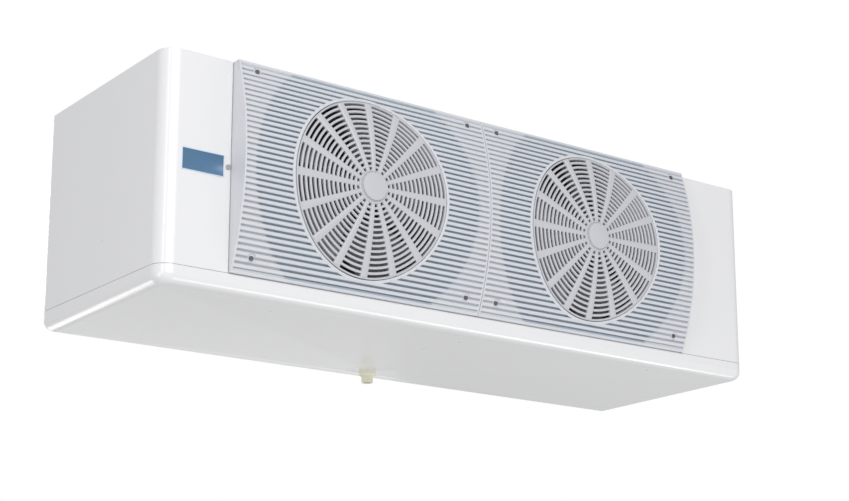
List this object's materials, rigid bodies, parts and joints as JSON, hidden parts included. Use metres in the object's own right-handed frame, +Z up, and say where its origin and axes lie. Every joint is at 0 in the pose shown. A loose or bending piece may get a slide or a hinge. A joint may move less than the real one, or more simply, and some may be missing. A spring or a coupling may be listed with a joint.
{
  "type": "walk-in unit cooler",
  "caption": "Ceiling-hung unit cooler with fans behind round guards in louvred panels, a finned coil and a hinged drip tray with a drain.",
  "frame": {"origin": "centre of the four hanging holes, on the top face of the casing", "axes": "+X along the casing towards the pipework end, +Y to the back, where air enters, -Y to the fan side, +Z up"},
  "size_m": [1.168, 0.451, 0.378],
  "materials": {
    "white_paint": "gloss",
    "galvanised": "satin",
    "zinc_fastener": "satin",
    "dark_fastener": "satin",
    "fin_aluminium": "satin",
    "copper": "satin",
    "brass": "satin",
    "black_rubber": "matte",
    "grey_plastic": "matte",
    "black_plastic": "matte",
    "blue_plate": "gloss",
    "cream_plastic": "satin",
    "dark_plate": "satin",
    "louvre_grey": "satin",
    "guard_grey": "satin",
    "motor_black": "satin",
    "bearing_steel": "satin",
    "blade_grey": "satin"
  },
  "bodies": {
    "casing": {"top_panel": "white_paint", "end_cover_left": "white_paint", "end_cover_right": "white_paint", "end_plate_left": "galvanised", "end_plate_right": "galvanised", "hanger_left": "galvanised", "hanger_right": "galvanised", "hanger_bolts": "zinc_fastener", "bottom_rail_front": "galvanised", "bottom_rail_rear": "galvanised", "motor_screws": "zinc_fastener", "louvre_panel_screws": "dark_fastener", "coil_fins": "fin_aluminium", "coil_tubes": "copper", "return_bends_left": "copper", "return_bends_right": "copper", "suction_header": "copper", "gas_connection": "copper", "distributor": "brass", "feeder_tubes": "copper", "liquid_connection": "copper", "pipe_grommets": "black_rubber", "junction_box": "grey_plastic", "junction_box_lid": "grey_plastic", "junction_box_screws": "zinc_fastener", "fan_leads": "black_rubber", "cable_gland": "black_plastic", "end_cover_screws": "zinc_fastener", "nameplate": "blue_plate", "hinge_eyes": "galvanised", "catch_clips": "zinc_fastener", "fan_plate_left": "dark_plate", "bell_mouth_left": "black_plastic", "louvre_panel_left": "louvre_grey", "fan_guard_left": "guard_grey", "guard_cap_left": "guard_grey", "motor_left": "motor_black", "motor_bearings_left": "bearing_steel", "fan_plate_right": "dark_plate", "bell_mouth_right": "black_plastic", "louvre_panel_right": "louvre_grey", "fan_guard_right": "guard_grey", "guard_cap_right": "guard_grey", "motor_right": "motor_black", "motor_bearings_right": "bearing_steel"},
    "fan_left": {"impeller_left": "blade_grey", "motor_shaft_left": "bearing_steel", "shaft_circlip_left": "bearing_steel"},
    "fan_right": {"impeller_right": "blade_grey", "motor_shaft_right": "bearing_steel", "shaft_circlip_right": "bearing_steel"},
    "tray": {"drip_tray": "white_paint", "drain_seal": "black_rubber", "drain_spigot": "cream_plastic", "drain_nut": "cream_plastic", "hinge_lugs": "galvanised", "hinge_pins": "zinc_fastener", "catch_studs": "galvanised"}
  },
  "joints": [
    {"name": "fan_left_spin", "type": "hinge", "parent": "casing", "child": "fan_left", "pos_m": [-0.248, -0.169, -0.159], "axis": [0, 1, 0], "continuous": true},
    {"name": "fan_right_spin", "type": "hinge", "parent": "casing", "child": "fan_right", "pos_m": [0.202, -0.169, -0.159], "axis": [0, 1, 0], "continuous": true},
    {"name": "tray_hinge", "type": "hinge", "parent": "casing", "child": "tray", "pos_m": [0, 0.193, -0.32], "axis": [1, 0, 0], "range_deg": [0, 80]}
  ]
}
